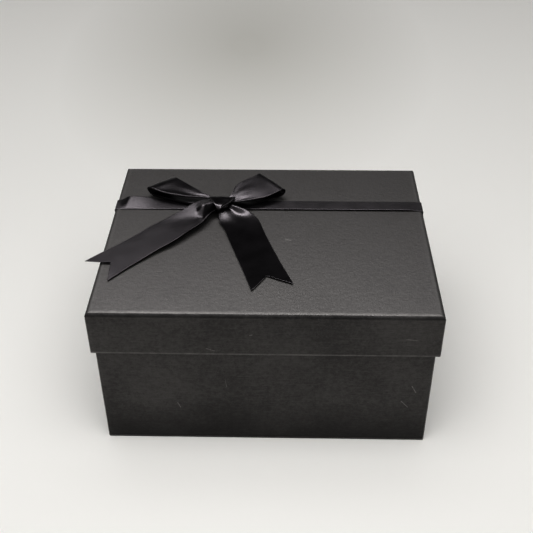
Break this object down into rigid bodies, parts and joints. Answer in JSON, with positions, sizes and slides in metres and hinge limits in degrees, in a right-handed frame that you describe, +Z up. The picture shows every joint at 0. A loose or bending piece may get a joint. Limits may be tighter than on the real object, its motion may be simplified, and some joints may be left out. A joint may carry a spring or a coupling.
{
  "type": "gift box",
  "caption": "Rectangular rigid gift box with a deep lift-off lid, a narrow satin ribbon band over the lid and a tied satin bow with swallow-tail ends.",
  "frame": {"origin": "centre of the base's underside, on the surface the box stands on", "axes": "+X to the right along the box's long side, -Y towards the front, +Z up, the way the lid lifts"},
  "size_m": [0.2283, 0.176, 0.1222],
  "materials": {
    "cover_paper": "matt black covering paper with a fine fibre mottle",
    "greyboard": "raw greyboard",
    "stay_tape": "gummed kraft stay tape",
    "lining_paper": "matt black lining paper",
    "satin": "black woven polyester satin ribbon",
    "adhesive_tape": "double-sided tissue tape",
    "glue": "cured hot-melt glue"
  },
  "bodies": {
    "base": {"base_board": "greyboard", "base_stay_front_left": "stay_tape", "base_stay_front_right": "stay_tape", "base_stay_back_left": "stay_tape", "base_stay_back_right": "stay_tape", "base_wrap": "cover_paper", "base_liner": "lining_paper"},
    "lid": {"lid_board": "greyboard", "lid_stay_front_left": "stay_tape", "lid_stay_front_right": "stay_tape", "lid_stay_back_left": "stay_tape", "lid_stay_back_right": "stay_tape", "lid_wrap": "cover_paper", "lid_liner": "lining_paper", "ribbon_band": "satin", "band_tape_left": "adhesive_tape", "band_tape_right": "adhesive_tape", "bow_glue_dot": "glue", "bow_knot": "satin", "bow_left_loop": "satin", "bow_right_loop": "satin", "bow_left_tail": "satin", "bow_right_tail": "satin"}
  },
  "joints": [
    {"name": "lid_lift", "type": "slide", "parent": "base", "child": "lid", "axis": [0, 0, 1], "range_m": [0, 0.12]}
  ]
}
